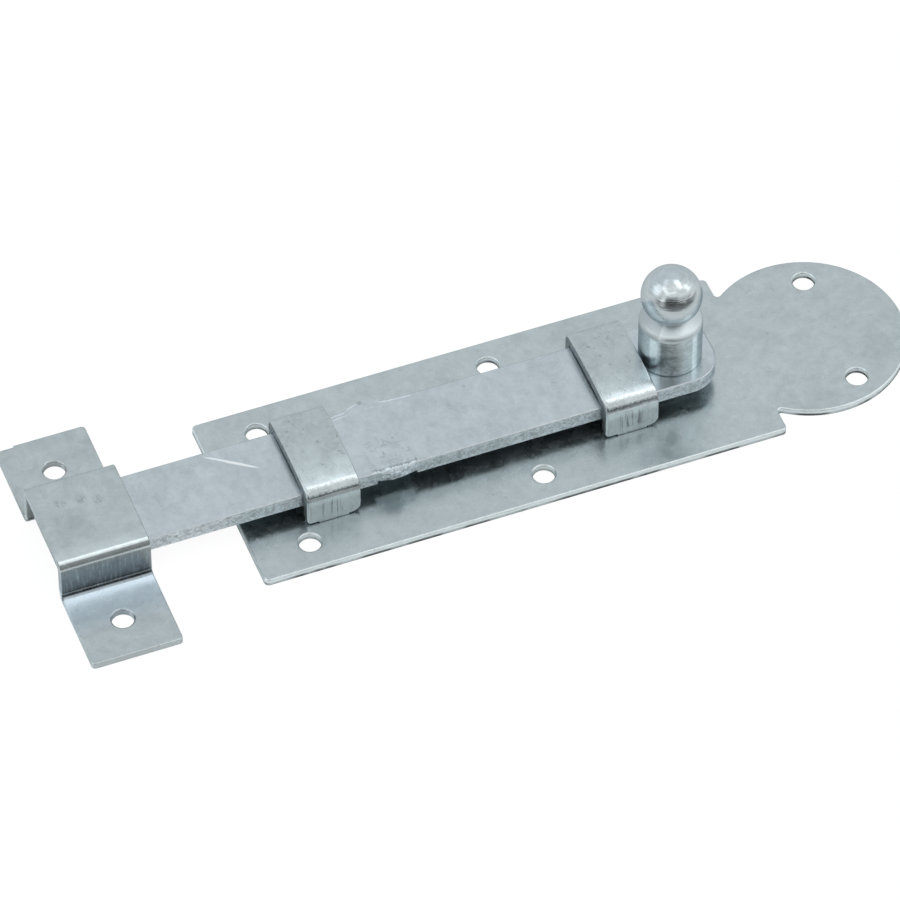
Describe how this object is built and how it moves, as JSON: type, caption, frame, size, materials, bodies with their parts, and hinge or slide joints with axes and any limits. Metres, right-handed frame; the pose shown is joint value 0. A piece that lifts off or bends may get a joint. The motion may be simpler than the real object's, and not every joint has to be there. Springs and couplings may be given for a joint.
{
  "type": "slide bolt",
  "caption": "Flat slide bolt with a turned ball knob, two guide loops on a keyhole-shaped base plate, and a separate hat-shaped keeper.",
  "frame": {"origin": "on the back face of the base plate, at the centre of its straight-sided part", "axes": "+X along the bar, from the keeper towards the knob, which is the way that the bolt is drawn back; +Z out of the mounting surface, towards the knob's ball"},
  "size_m": [0.21, 0.068, 0.0363],
  "materials": {
    "zinc_sheet": "bright zinc plating on cold rolled steel sheet",
    "zinc_strap": "bright zinc plating on bent steel strap, polished along the bends",
    "zinc_bar": "satin zinc plating on flat steel bar with sheared edges",
    "zinc_turned": "bright zinc plating on turned steel",
    "spring_steel": "plain spring steel strip"
  },
  "bodies": {
    "fixed_parts": {"base_plate": "zinc_sheet", "front_guide": "zinc_strap", "rear_guide": "zinc_strap", "keeper": "zinc_sheet"},
    "bolt": {"bolt_bar": "zinc_bar", "knob": "zinc_turned", "bar_spring": "spring_steel"}
  },
  "joints": [
    {"name": "bolt_slide", "type": "slide", "parent": "fixed_parts", "child": "bolt", "axis": [1, 0, 0], "range_m": [0, 0.04629]}
  ]
}
